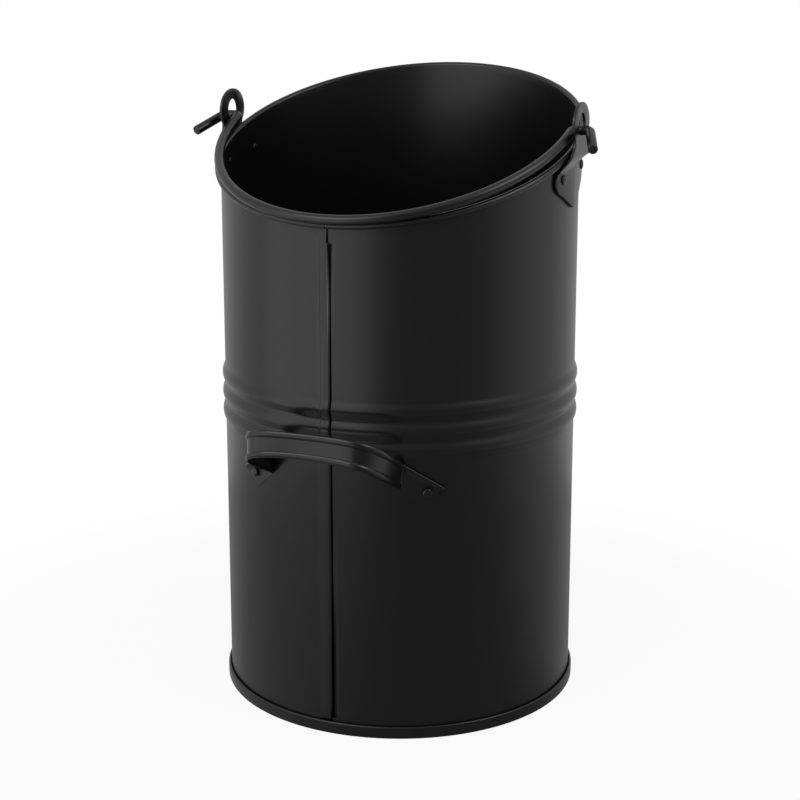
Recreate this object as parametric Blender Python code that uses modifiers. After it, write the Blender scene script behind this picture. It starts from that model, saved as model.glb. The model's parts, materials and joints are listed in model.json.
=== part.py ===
"""Coal scuttle of painted sheet steel, for Blender 4.5. Metres, +Z up.

The scuttle stands on z = 0 and its axis is the Z axis. The low lip, the lock seam and the tilt
handle face -Y, and the ears that carry the bail are at -X (left) and +X (right). An azimuth is
measured from -Y towards +X."""

import math
from collections import namedtuple

import bmesh
import bpy
from mathutils import Matrix, Vector
from mathutils.geometry import interpolate_bezier

# Sheet and clearances
SHEET = 0.0006
FOLD_GAP = 0.00025
SEAT_GAP = 0.0003
OVERRUN = 0.004

# Body and slanted mouth
BODY_RADIUS = 0.132
FRONT_LIP_HEIGHT = 0.374
BACK_LIP_HEIGHT = 0.4615
WIRE_RADIUS = 0.0016
ROLL_SWEEP = math.radians(305)

# Swaged ribs
RIB_COUNT = 3
RIB_PITCH = 0.0143
RIB_DEPTH = 0.0021
RIB_TOP_HEIGHT = 0.2492

# Folded bottom seam and upright lock seam
FOOT_SEAM_HEIGHT = 0.009
PAN_CORNER_RADIUS = 0.0012
LOCK_OFFSET = -0.0025
LOCK_WIDTH = 0.0063
LOCK_STEP = 0.0018
LOCK_JOGGLE = 0.001
LOCK_RAMP = 0.002
LOCK_END_DROP = 0.0125
LOCK_FADE_DROP = 0.0045
BUTT_GAP = 0.0012

# Ears
EAR_THICKNESS = 0.002
EAR_HEAD_HALF_WIDTH = 0.019
EAR_HEAD_RISE = 0.0157
EAR_NECK_HALF_WIDTH = 0.0152
EAR_NECK_FILLET = 0.006
EAR_TIP_DROP = 0.044
EAR_TIP_FILLET = 0.004
EAR_WING_RADIUS = 0.0105
EAR_RIVET_SPREAD = 0.0215
EAR_RIVET_CLEARANCE = 0.0037
EAR_SWEEP_ANGLE = math.radians(42)
EAR_LEAN_SHARE = 0.41
EAR_JOGGLE_LENGTH = 0.009
EYE_RADIUS = 0.008

# Bail
BAIL_WIRE_RADIUS = 0.0035
BAIL_STAND_OFF = 0.006
BAIL_PIVOT_RISE = 0.0122
BAIL_INNER_BEND = 0.0048
BAIL_ELBOW_RADIUS = 0.0055
HOOK_REACH = 0.010
HOOK_LENGTH = 0.029

# Tilt handle
STRAP_THICKNESS = 0.0012
RIDGE_HEIGHT = 0.0013
RIDGE_WIDTH = 0.0035
STRAP_STAND_OFF = 0.0409
BAR_WIDTH = 0.0187
BAR_RISE = 0.0296
BAR_TOP_PULL = 1.26
BAR_BOTTOM_PULL = 1.48
BAR_PULL_SPREAD = 1.15
BAR_PULL_LIFT = 0.0045
BAR_SHOULDER_SHARE = 0.63
FOLD_WIDTH = 0.0185
FOLD_TOP_AZIMUTH = math.radians(22.7)
FOLD_BOTTOM_AZIMUTH = math.radians(21.6)
FOLD_BEND_RADIUS = 0.004
FOOT_TOP_DROP = 0.0185
FOOT_TOP_AZIMUTH = math.radians(35.5)
FOOT_BOTTOM_DROP = 0.0148
FOOT_BOTTOM_AZIMUTH = math.radians(29.5)
HANDLE_RIVET_SHARE = 0.75

# Rivets
RIVET_RADIUS = 0.002
RIVET_HOLE_RADIUS = 0.0023
RIVET_HEAD_RADIUS = 0.0034
RIVET_HEAD_HEIGHT = 0.0014
RIVET_RIM_SHARE = 0.4
RIVET_TAIL_RADIUS = 0.003
RIVET_TAIL_HEIGHT = 0.0011

# Facets
BODY_SIDES = 48
RIB_STEPS = 5
ROLL_STEPS = 8
FOLD_STEPS = 4
CORNER_STEPS = 2
ARC_STEPS = 5
ROUND_SIDES = 12
JOGGLE_STEPS = 4
RIDGE_SHARES = (0, 0.5, 1)
BAR_STEPS = 10
FOOT_STEPS = 4

# Sizes that follow
LAYER = SHEET + FOLD_GAP
FOLD_REACH = LAYER + SHEET / 2
WALL = BODY_RADIUS - SHEET / 2
SIDE = math.tau / BODY_SIDES
ROLL = (WIRE_RADIUS + FOLD_GAP) / math.cos(ROLL_SWEEP / ROLL_STEPS / 2) + SHEET / 2
ROLL_CENTRE = WALL + ROLL
ROLL_REACH = ROLL + SHEET / 2
RIM_HEIGHT = (FRONT_LIP_HEIGHT + BACK_LIP_HEIGHT) / 2 - ROLL_REACH
RIM_SLOPE = (BACK_LIP_HEIGHT - FRONT_LIP_HEIGHT) / (2 * ROLL_CENTRE)
BAIL_BOW_RADIUS = BODY_RADIUS + BAIL_STAND_OFF
BAIL_PIVOT_HEIGHT = RIM_HEIGHT + BAIL_PIVOT_RISE
EAR_TIP_HEIGHT = RIM_HEIGHT - EAR_TIP_DROP
EAR_LEAN = math.atan(RIM_SLOPE) * EAR_LEAN_SHARE
EAR_BEND_TOP = RIM_HEIGHT - ROLL_REACH - SEAT_GAP - RIM_SLOPE * EAR_NECK_HALF_WIDTH / 2
EAR_RIVET_HEIGHT = EAR_BEND_TOP - EAR_JOGGLE_LENGTH - EAR_RIVET_CLEARANCE
RIB_BOTTOM_HEIGHT = RIB_TOP_HEIGHT - RIB_COUNT * RIB_PITCH
FOLD_TOP_HEIGHT = RIB_BOTTOM_HEIGHT - SEAT_GAP
BAR_TOP_HEIGHT = FOLD_TOP_HEIGHT + BAR_RISE
FOLD_BOTTOM_HEIGHT = FOLD_TOP_HEIGHT - FOLD_WIDTH
FOOT_TOP_HEIGHT = FOLD_TOP_HEIGHT - FOOT_TOP_DROP
FOOT_BOTTOM_HEIGHT = FOLD_BOTTOM_HEIGHT - FOOT_BOTTOM_DROP
EAR_SEAT = BODY_RADIUS + SEAT_GAP
EAR_FLAT = ROLL_CENTRE + ROLL_REACH + SEAT_GAP
EYE_HEIGHT = BAIL_PIVOT_HEIGHT + EYE_RADIUS - BAIL_WIRE_RADIUS - SEAT_GAP
RIGHT = math.radians(90)
EAR_RIVET_TURN = EAR_RIVET_SPREAD / BODY_RADIUS

Row = namedtuple("Row", "out height slope lift band locked", defaults=(0, 0, 0, False))
Column = namedtuple("Column", "azimuth level", defaults=(0,))

PARTS = "coal_scuttle"
CUTTERS = "coal_scuttle_cutters"


# Helpers
def clear_scene():
    for obj in list(bpy.data.objects):
        bpy.data.objects.remove(obj, do_unlink=True)
    for name in (PARTS, CUTTERS):
        bpy.context.scene.collection.children.link(bpy.data.collections.new(name))
    bpy.data.collections[CUTTERS].hide_render = True


def make_material(name, colour, roughness, metallic):
    material = bpy.data.materials.new(name)
    material.use_nodes = True
    shader = material.node_tree.nodes["Principled BSDF"]
    shader.inputs["Base Color"].default_value = (*colour, 1)
    shader.inputs["Roughness"].default_value = roughness
    shader.inputs["Metallic"].default_value = metallic
    return material


def add_object(name, data, collection=PARTS):
    obj = bpy.data.objects.new(name, data)
    bpy.data.collections[collection].objects.link(obj)
    return obj


def mesh_object(name, bm, collection=PARTS):
    mesh = bpy.data.meshes.new(name)
    bm.to_mesh(mesh)
    bm.free()
    mesh.shade_smooth()
    mesh.set_sharp_from_angle(angle=math.radians(35))
    return add_object(name, mesh, collection)


def paint(obj, material):
    obj.data.materials.append(material)
    return obj


def thicken(obj, thickness, offset):
    solidify = obj.modifiers.new("sheet", "SOLIDIFY")
    solidify.thickness = thickness
    solidify.offset = offset
    solidify.use_even_offset = True


def cut(obj, cutter):
    boolean = obj.modifiers.new(cutter.name, "BOOLEAN")
    boolean.operation = "DIFFERENCE"
    boolean.solver = "EXACT"
    boolean.object = cutter


def mesh_from_curve(curve_object):
    """The curve as a mesh object with its caps welded; the curve itself is removed."""
    graph = bpy.context.evaluated_depsgraph_get()
    mesh = bpy.data.meshes.new_from_object(curve_object.evaluated_get(graph))
    bm = bmesh.new()
    bm.from_mesh(mesh)
    bmesh.ops.remove_doubles(bm, verts=bm.verts, dist=SHEET / 100)
    bmesh.ops.recalc_face_normals(bm, faces=bm.faces)
    name = curve_object.name
    bpy.data.meshes.remove(mesh)
    bpy.data.objects.remove(curve_object, do_unlink=True)
    return name, bm


def smooth_step(share):
    share = min(max(share, 0), 1)
    return share * share * (3 - 2 * share)


def ring_point(radius, azimuth, height=0):
    """A point on the many-sided ring that the sheet pieces share, its sides centred on azimuth 0."""
    off_centre = (azimuth + SIDE / 2) % SIDE - SIDE / 2
    reach = radius * math.cos(SIDE / 2) / math.cos(off_centre)
    return Vector((reach * math.sin(azimuth), -reach * math.cos(azimuth), height))


def ring_corners():
    return [(index + 0.5) * SIDE for index in range(BODY_SIDES)]


def rim_height(y):
    return RIM_HEIGHT + RIM_SLOPE * y


def rim_up(azimuth):
    """The unit vector square to the mouth's edge and to the radius."""
    along = RIM_SLOPE * math.sin(azimuth)
    return Vector((-along * math.cos(azimuth), -along * math.sin(azimuth), 1)).normalized()


def outward(azimuth):
    return Vector((math.sin(azimuth), -math.cos(azimuth), 0))


def filleted(corners):
    """The path through (point, radius) corners, each corner inside it rounded to its radius."""
    path = []
    for index, (point, radius) in enumerate(corners):
        if not radius or index in (0, len(corners) - 1):
            path.append(point)
            continue
        back = (corners[index - 1][0] - point).normalized()
        ahead = (corners[index + 1][0] - point).normalized()
        half = back.angle(ahead) / 2
        centre = point + (back + ahead).normalized() * (radius / math.sin(half))
        start = point + back * (radius / math.tan(half)) - centre
        finish = point + ahead * (radius / math.tan(half)) - centre
        turn = start.angle(finish)
        for step in range(ARC_STEPS + 1):
            share = step / ARC_STEPS
            spot = start * math.sin((1 - share) * turn) + finish * math.sin(share * turn)
            path.append(centre + spot / math.sin(turn))
    return path


def add_strip(bm, rows):
    """Quads between neighbouring rows of points; a row runs left to right seen from outside."""
    grid = [[bm.verts.new(point) for point in row] for row in rows]
    for low, high in zip(grid, grid[1:]):
        for corners in zip(low, low[1:], high[1:], high):
            bm.faces.new(corners)


# Body
def roll_rows():
    for step in range(ROLL_STEPS + 1):
        angle = math.pi - ROLL_SWEEP * step / ROLL_STEPS
        out = ROLL * (1 + math.cos(angle))
        yield Row(out, RIM_HEIGHT, RIM_SLOPE, ROLL * math.sin(angle))


def body_rows():
    """The sheet's rows from the flange inside the foot seam, up the wall and round the wire."""
    bend_height = 2 * LAYER + SHEET / 2
    flange_height = FOOT_SEAM_HEIGHT - FOLD_REACH - FOLD_GAP
    rows = [Row(2 * LAYER, flange_height)]
    for step in range(FOLD_STEPS + 1):
        angle = math.pi * step / FOLD_STEPS
        rows.append(Row(LAYER * (1 + math.cos(angle)), bend_height - LAYER * math.sin(angle)))
    rows.append(Row(0, FOOT_SEAM_HEIGHT))
    lock_start = FOOT_SEAM_HEIGHT + LOCK_RAMP
    rows.append(Row(0, lock_start, band=1))
    rows.append(Row(0, lock_start + SEAT_GAP, band=1, locked=True))
    for step in range(RIB_COUNT * RIB_STEPS + 1):
        out = RIB_DEPTH * abs(math.sin(math.pi * step / RIB_STEPS))
        height = RIB_BOTTOM_HEIGHT + RIB_PITCH * step / RIB_STEPS
        rows.append(Row(out, height, band=1, locked=True))
    lock_end = RIM_HEIGHT - LOCK_END_DROP
    rows.append(Row(0, lock_end - SEAT_GAP, RIM_SLOPE, band=1, locked=True))
    rows.append(Row(0, lock_end, RIM_SLOPE, band=1))
    rows.append(Row(0, RIM_HEIGHT - LOCK_FADE_DROP, RIM_SLOPE))
    return rows + list(roll_rows())


def seam_column(along, level):
    return Column((LOCK_OFFSET + along) / BODY_RADIUS, level)


def hook(centre, first_level, side):
    """The columns round one hook of the lock seam, from one layer to the layer two below or above."""
    turn = 1 if side > 0 else -1
    for step in range(FOLD_STEPS + 1):
        angle = math.pi * step / FOLD_STEPS
        along = centre + turn * LAYER * math.sin(angle)
        yield seam_column(along, first_level - turn * (1 - math.cos(angle)))


def lock_columns():
    """The columns of the left sheet's hook, of the right sheet's hook, and of all between them."""
    hook_centre = LOCK_WIDTH / 2 - FOLD_REACH
    crease = LOCK_WIDTH / 2 + FOLD_GAP
    cut_edge = LOCK_WIDTH / 2 - LOCK_STEP
    left = [seam_column(-crease - LOCK_JOGGLE, 0), seam_column(-crease, 1)]
    left.append(seam_column(cut_edge, 1))
    right_start = seam_column(crease + LOCK_JOGGLE, 0)
    left_hook = [left[-1], *hook(hook_centre, 1, 1)]
    left_hook.append(seam_column(FOLD_GAP - hook_centre, -1))
    right_hook = [seam_column(hook_centre - FOLD_GAP, 0)]
    right_hook += reversed(list(hook(-hook_centre, -2, -1)))
    right_hook += [seam_column(crease, -2), right_start]
    butt = [seam_column(cut_edge + BUTT_GAP, 0), right_start]
    round_body = [right_start, *map(Column, ring_corners())]
    round_body += [Column(column.azimuth + math.tau, column.level) for column in left]
    return round_body, left_hook, right_hook, butt


def body_point(row, column):
    level = LAYER * column.level * row.band
    point = ring_point(WALL + row.out + level, column.azimuth)
    point.z = row.height + row.slope * ring_point(ROLL_CENTRE, column.azimuth).y
    return point + rim_up(column.azimuth) * row.lift


def runs_of(rows, locked):
    """The stretches of neighbouring rows that are locked, or that aren't."""
    run = []
    for row in rows:
        if row.locked == locked:
            run.append(row)
        elif run:
            yield run
            run = []
    if run:
        yield run


def make_body(material):
    rows = body_rows()
    round_body, left_hook, right_hook, butt = lock_columns()
    stretches = [(rows, round_body)]
    for run in runs_of(rows, True):
        stretches += [(run, left_hook), (run, right_hook)]
    stretches += [(run, butt) for run in runs_of(rows, False)]
    bm = bmesh.new()
    for run, columns in stretches:
        add_strip(bm, [[body_point(row, column) for column in columns] for row in run])
    bmesh.ops.remove_doubles(bm, verts=bm.verts, dist=SHEET / 100)
    body = paint(mesh_object("body_shell", bm), material)
    thicken(body, SHEET, 0)
    return body


def make_rim_wire(material):
    curve = bpy.data.curves.new("rim_wire", "CURVE")
    curve.dimensions = "3D"
    curve.bevel_depth = WIRE_RADIUS
    curve.bevel_resolution = 2
    curve.use_fill_caps = True
    joint = math.pi + SIDE / 2
    ends = [joint + BUTT_GAP / BODY_RADIUS, joint + math.tau - BUTT_GAP / BODY_RADIUS]
    azimuths = [azimuth + turn for turn in (0, math.tau) for azimuth in ring_corners()]
    azimuths = [azimuth for azimuth in azimuths if joint + SIDE / 2 < azimuth < ends[1] - SIDE / 2]
    spline = curve.splines.new("POLY")
    spline.points.add(len(azimuths) + 1)
    for target, azimuth in zip(spline.points, [ends[0], *azimuths, ends[1]]):
        point = ring_point(ROLL_CENTRE, azimuth)
        target.co = (point.x, point.y, rim_height(point.y), 1)
    return paint(add_object("rim_wire", curve), material)


def make_bottom_pan(material):
    """A turned dish: flat disc, rounded corner, outer leg, hem over the flange, inner leg."""
    outer = WALL + 3 * LAYER
    corner = Vector((outer - PAN_CORNER_RADIUS, SHEET / 2 + PAN_CORNER_RADIUS))
    profile = [Vector((0, SHEET / 2))]
    for step in range(CORNER_STEPS + 1):
        angle = math.pi / 2 * step / CORNER_STEPS
        turn = Vector((math.sin(angle), -math.cos(angle)))
        profile.append(corner + turn * PAN_CORNER_RADIUS)
    hem = Vector((WALL + 2 * LAYER, FOOT_SEAM_HEIGHT - FOLD_REACH))
    for step in range(FOLD_STEPS + 1):
        angle = math.pi * step / FOLD_STEPS
        profile.append(hem + Vector((math.cos(angle), math.sin(angle))) * LAYER)
    profile.append(Vector((WALL + LAYER, 2 * LAYER + SHEET / 2 + FOLD_GAP)))
    bm = bmesh.new()
    verts = [bm.verts.new((point.x, 0, point.y)) for point in profile]
    for pair in zip(verts, verts[1:]):
        bm.edges.new(pair)
    pan = paint(mesh_object("bottom_pan", bm), material)
    pan.rotation_euler.z = SIDE / 2
    turn = pan.modifiers.new("turn", "SCREW")
    turn.steps = turn.render_steps = BODY_SIDES
    turn.use_merge_vertices = True
    turn.merge_threshold = SHEET / 100
    turn.use_normal_flip = False
    thicken(pan, SHEET, 0)
    return pan


# Ears
def ear_outline():
    """The flat ear, half of it from the tip up to the crown, then its mirror image down again."""
    wing = Vector((EAR_RIVET_SPREAD, EAR_RIVET_HEIGHT))
    tip = Vector((0, EAR_TIP_HEIGHT))
    reach = wing - tip
    lean = math.asin(EAR_WING_RADIUS / reach.length)
    low = math.atan2(reach.y, reach.x) - lean - math.pi / 2
    high = math.pi / 2 - EAR_SWEEP_ANGLE
    half = [(tip.to_3d(), EAR_TIP_FILLET)]
    steps = 2 * ARC_STEPS
    for step in range(steps + 1):
        angle = low + (high - low) * step / steps
        point = wing + Vector((math.cos(angle), math.sin(angle))) * EAR_WING_RADIUS
        half.append((point.to_3d(), 0))
    last = half[-1][0]
    neck_low = last.y + (last.x - EAR_NECK_HALF_WIDTH) * math.tan(EAR_SWEEP_ANGLE)
    half.append((Vector((EAR_NECK_HALF_WIDTH, neck_low, 0)), EAR_NECK_FILLET))
    start = -math.acos(EAR_NECK_HALF_WIDTH / EAR_HEAD_HALF_WIDTH)
    for step in range(steps + 1):
        angle = start + (math.pi / 2 - start) * step / steps
        x = EAR_HEAD_HALF_WIDTH * math.cos(angle)
        half.append((Vector((x, EYE_HEIGHT + EAR_HEAD_RISE * math.sin(angle), 0)), 0))
    mirrored = [(Vector((-p.x, p.y, 0)), radius) for p, radius in reversed(half[1:-1])]
    ring = [*half, *mirrored]
    return filleted([ring[-1], *ring, ring[0]])[1:-1]


def flat_plate(name, outlines, thickness):
    curve = bpy.data.curves.new(name, "CURVE")
    curve.dimensions = "2D"
    curve.fill_mode = "BOTH"
    curve.extrude = thickness / 2
    for outline in outlines:
        spline = curve.splines.new("POLY")
        spline.points.add(len(outline) - 1)
        for target, point in zip(spline.points, outline):
            target.co = (point.x, point.y, 0, 1)
        spline.use_cyclic_u = True
    return mesh_from_curve(add_object(name, curve))


def bent_ear_point(flat, side):
    """Where a point of the flat ear goes: round the wall below, and flat past the roll above."""
    share = smooth_step(1 - (EAR_BEND_TOP - flat.y) / EAR_JOGGLE_LENGTH)
    out = flat.z + EAR_THICKNESS / 2
    azimuth = RIGHT + flat.x / BODY_RADIUS
    low = ring_point(EAR_SEAT + out, azimuth, flat.y)
    low.z += flat.x * math.tan(EAR_LEAN)
    high = Vector((EAR_FLAT + out, flat.x, flat.y))
    point = low.lerp(high, share)
    point.x *= side
    return point


def make_ear(name, side, material):
    circle = [math.tau * step / (2 * ROUND_SIDES) for step in range(2 * ROUND_SIDES)]
    eye = [Vector((math.sin(a) * EYE_RADIUS, EYE_HEIGHT + math.cos(a) * EYE_RADIUS)) for a in circle]
    name, bm = flat_plate(name, [ear_outline(), eye], EAR_THICKNESS)
    steps = range(JOGGLE_STEPS + 1)
    bends = [EAR_BEND_TOP - EAR_JOGGLE_LENGTH * step / JOGGLE_STEPS for step in steps]
    planes = [(Vector((0, height, 0)), Vector((0, 1, 0))) for height in bends]
    corner = BODY_RADIUS * SIDE / 2
    planes += [(Vector((s * corner, 0, 0)), Vector((1, 0, 0))) for s in (-3, -1, 1, 3)]
    for point, normal in planes:
        parts = bm.verts[:] + bm.edges[:] + bm.faces[:]
        bmesh.ops.bisect_plane(bm, geom=parts, plane_co=point, plane_no=normal)
    bmesh.ops.triangulate(bm, faces=bm.faces)
    for vert in bm.verts:
        vert.co = bent_ear_point(vert.co, side)
    bmesh.ops.recalc_face_normals(bm, faces=bm.faces)
    return paint(mesh_object(name, bm), material)


# Rivets
def cylinder(name, radius, depth, collection=PARTS):
    bm = bmesh.new()
    bmesh.ops.create_cone(
        bm, cap_ends=True, segments=ROUND_SIDES, radius1=radius, radius2=radius, depth=depth
    )
    return mesh_object(name, bm, collection)


def place_radially(obj, azimuth, height, radius):
    """Stands the object's own Z axis on the wall, pointing outwards, with its origin at radius."""
    turn = outward(azimuth).to_track_quat("Z", "Y").to_matrix().to_4x4()
    spot = outward(azimuth) * radius + Vector((0, 0, height))
    obj.matrix_world = Matrix.Translation(spot) @ turn


def make_rivet(name, azimuth, height, plate, pieces, material):
    """A rivet with a domed head over the plate, its shank through plate and wall, and a tail inside."""
    facet = math.cos(SIDE / 2)
    head_seat = plate * facet + SEAT_GAP
    tail_seat = (BODY_RADIUS - SHEET) * facet - SEAT_GAP
    seat_depth = head_seat - tail_seat
    half = ROUND_SIDES // 2
    profile = [Vector((0, RIVET_HEAD_HEIGHT))]
    for step in range(1, half // 2 + 1):
        angle = math.pi / 2 * step / (half // 2)
        rise = RIVET_RIM_SHARE + (1 - RIVET_RIM_SHARE) * math.cos(angle)
        profile.append(Vector((RIVET_HEAD_RADIUS * math.sin(angle), RIVET_HEAD_HEIGHT * rise)))
    profile += [Vector((RIVET_HEAD_RADIUS, 0)), Vector((RIVET_RADIUS, 0))]
    profile += [Vector((RIVET_RADIUS, -seat_depth)), Vector((RIVET_TAIL_RADIUS, -seat_depth))]
    profile.append(Vector((RIVET_TAIL_RADIUS, -seat_depth - RIVET_TAIL_HEIGHT / 2)))
    profile.append(Vector((RIVET_RADIUS, -seat_depth - RIVET_TAIL_HEIGHT)))
    profile.append(Vector((0, -seat_depth - RIVET_TAIL_HEIGHT)))
    bm = bmesh.new()
    verts = [bm.verts.new((point.x, 0, point.y)) for point in profile]
    for pair in zip(verts, verts[1:]):
        bm.edges.new(pair)
    rivet = paint(mesh_object(name, bm), material)
    turn = rivet.modifiers.new("turn", "SCREW")
    turn.steps = turn.render_steps = ROUND_SIDES
    turn.use_merge_vertices = True
    turn.merge_threshold = SHEET / 100
    place_radially(rivet, azimuth, height, head_seat)
    cutter = cylinder(f"hole_{name}", RIVET_HOLE_RADIUS, seat_depth + 2 * OVERRUN, CUTTERS)
    cutter.display_type = "WIRE"
    cutter.hide_render = True
    place_radially(cutter, azimuth, height, (head_seat + tail_seat) / 2)
    for piece in pieces:
        cut(piece, cutter)
    return rivet


# Bail
def bail_half():
    """The wire of the right half in the bow's own plane, from the bow's middle to the hook's end."""
    slope = bail_slope()
    leg_x = EAR_FLAT - SEAT_GAP - BAIL_INNER_BEND
    elbow_x = EAR_FLAT + EAR_THICKNESS + SEAT_GAP + BAIL_ELBOW_RADIUS
    stretch = 1 / math.cos(slope)
    corners = []
    count = BODY_SIDES // 2
    for step in range(count):
        azimuth = RIGHT * step / count
        ahead = BAIL_BOW_RADIUS * math.cos(azimuth) * stretch
        corners.append((Vector((leg_x * math.sin(azimuth), -ahead, 0)), 0))
    corners.append((Vector((leg_x, 0, 0)), BAIL_INNER_BEND))
    corners.append((Vector((elbow_x, 0, 0)), BAIL_ELBOW_RADIUS))
    corners.append((Vector((elbow_x + HOOK_REACH, -HOOK_LENGTH, 0)), 0))
    return filleted(corners)


def bail_slope():
    """How steeply the resting bail runs down to the front, where it lies on the rolled lip."""
    contact = BAIL_WIRE_RADIUS + ROLL_REACH + SEAT_GAP
    across = BAIL_BOW_RADIUS - ROLL_CENTRE
    front_height = rim_height(-ROLL_CENTRE) + math.sqrt(contact**2 - across**2)
    return math.atan2(BAIL_PIVOT_HEIGHT - front_height, BAIL_BOW_RADIUS)


def make_bail(material):
    curve = bpy.data.curves.new("bail", "CURVE")
    curve.dimensions = "3D"
    curve.bevel_depth = BAIL_WIRE_RADIUS
    curve.bevel_resolution = 3
    curve.use_fill_caps = True
    half = bail_half()
    path = [Vector((-point.x, point.y, 0)) for point in reversed(half[1:])] + half
    spline = curve.splines.new("POLY")
    spline.points.add(len(path) - 1)
    for target, point in zip(spline.points, path):
        target.co = (*point, 1)
    bail = paint(add_object("bail", curve), material)
    bail.location = (0, 0, BAIL_PIVOT_HEIGHT)
    bail.rotation_euler.x = bail_slope()
    return bail


# Tilt handle
def strap_edge(bar_height, pull_share, fold_height, fold_azimuth, foot_height, foot_azimuth):
    """One edge of the strap's back face, from the right foot's end to the middle of the bar."""
    corners = []
    for step in range(FOOT_STEPS):
        share = step / FOOT_STEPS
        azimuth = foot_azimuth + (fold_azimuth - foot_azimuth) * share
        height = foot_height + (fold_height - foot_height) * share
        corners.append((on_wall(azimuth, height), 0))
    fold = on_wall(fold_azimuth, fold_height)
    corners.append((fold, FOLD_BEND_RADIUS))
    middle = Vector((0, -BODY_RADIUS - STRAP_STAND_OFF, bar_height))
    reach = (middle.y - fold.y) * pull_share
    pull = Vector((fold.x * BAR_PULL_SPREAD, fold.y + reach, bar_height + BAR_PULL_LIFT))
    shoulder = Vector((fold.x * BAR_SHOULDER_SHARE, middle.y, bar_height))
    bow = interpolate_bezier(fold, pull, shoulder, middle, BAR_STEPS + 1)
    corners += [(point, 0) for point in bow[1:]]
    return filleted(corners)


def on_wall(azimuth, height):
    return outward(azimuth) * (BODY_RADIUS + SEAT_GAP) + Vector((0, 0, height))


def clear_of_wall(point):
    seat = on_wall(math.atan2(point.x, -point.y), point.z)
    return seat if point.xy.length < seat.xy.length else point


def strap_columns():
    """Places across the strap as (distance from one edge as a share of the width, raised share)."""
    for share in RIDGE_SHARES:
        yield RIDGE_WIDTH * share / BAR_WIDTH, math.sin(math.pi * share)
    for share in reversed(RIDGE_SHARES):
        yield 1 - RIDGE_WIDTH * share / BAR_WIDTH, math.sin(math.pi * share)


def handle_rivet_place():
    """The rivet's azimuth and height on the right foot's middle line."""
    fold = Vector((FOLD_TOP_AZIMUTH + FOLD_BOTTOM_AZIMUTH, FOLD_TOP_HEIGHT + FOLD_BOTTOM_HEIGHT))
    foot = Vector((FOOT_TOP_AZIMUTH + FOOT_BOTTOM_AZIMUTH, FOOT_TOP_HEIGHT + FOOT_BOTTOM_HEIGHT))
    return fold.lerp(foot, HANDLE_RIVET_SHARE) / 2


def make_tilt_handle(material):
    high = strap_edge(
        BAR_TOP_HEIGHT,
        BAR_TOP_PULL,
        FOLD_TOP_HEIGHT,
        FOLD_TOP_AZIMUTH,
        FOOT_TOP_HEIGHT,
        FOOT_TOP_AZIMUTH,
    )
    low = strap_edge(
        BAR_TOP_HEIGHT - BAR_WIDTH,
        BAR_BOTTOM_PULL,
        FOLD_BOTTOM_HEIGHT,
        FOLD_BOTTOM_AZIMUTH,
        FOOT_BOTTOM_HEIGHT,
        FOOT_BOTTOM_AZIMUTH,
    )
    fade_start = FOOT_STEPS
    fade_end = FOOT_STEPS + ARC_STEPS + 1
    rows = []
    for index, (top, bottom) in enumerate(zip(high, low)):
        before = high[max(index - 1, 0)]
        after = high[min(index + 1, len(high) - 1)]
        normal = (top - bottom).cross(after - before).normalized()
        fade = smooth_step((index - fade_start) / (fade_end - fade_start))
        lift = normal * (RIDGE_HEIGHT * fade)
        row = [clear_of_wall(bottom.lerp(top, share)) + lift * up for share, up in strap_columns()]
        rows.append(row)
    mirrored = [[Vector((-p.x, p.y, p.z)) for p in row] for row in reversed(rows[:-1])]
    bm = bmesh.new()
    add_strip(bm, rows + mirrored)
    handle = paint(mesh_object("tilt_handle", bm), material)
    thicken(handle, STRAP_THICKNESS, 1)
    return handle


def main():
    clear_scene()
    paint_black = make_material("black_paint", (0.022, 0.022, 0.023), 0.42, 0.0)
    body = make_body(paint_black)
    make_rim_wire(make_material("rim_wire_steel", (0.3, 0.3, 0.31), 0.4, 1.0))
    make_bottom_pan(make_material("pan_paint", (0.02, 0.02, 0.021), 0.45, 0.0))
    handle = make_tilt_handle(make_material("handle_paint", (0.024, 0.024, 0.025), 0.38, 0.0))
    ear_paint = make_material("ear_paint", (0.026, 0.026, 0.027), 0.4, 0.0)
    rivet_paint = make_material("rivet_paint", (0.028, 0.028, 0.029), 0.35, 0.0)
    ear_plate = EAR_SEAT + EAR_THICKNESS
    for side_name, side in (("left", -1), ("right", 1)):
        ear = make_ear(f"ear_{side_name}", side, ear_paint)
        for end_name, end in (("front", -1), ("rear", 1)):
            name = f"ear_rivet_{side_name}_{end_name}"
            azimuth = side * (RIGHT + end * EAR_RIVET_TURN)
            height = EAR_RIVET_HEIGHT + end * EAR_RIVET_SPREAD * math.tan(EAR_LEAN)
            make_rivet(name, azimuth, height, ear_plate, (body, ear), rivet_paint)
        strap_plate = BODY_RADIUS + SEAT_GAP + STRAP_THICKNESS
        azimuth, height = handle_rivet_place()
        name = f"handle_rivet_{side_name}"
        make_rivet(name, side * azimuth, height, strap_plate, (body, handle), rivet_paint)
    make_bail(make_material("bail_paint", (0.024, 0.024, 0.025), 0.36, 0.0))


main()
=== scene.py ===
"""The finish of a painted sheet-steel coal scuttle: its pressed sheets, wires and rivets as fine
meshes, their paint, and a pale studio round them. Metres, +Z up, the low lip facing -Y."""

import json
import math
from collections import namedtuple

import bmesh
import bpy
from mathutils import Matrix, Vector
from mathutils.geometry import interpolate_bezier


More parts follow.
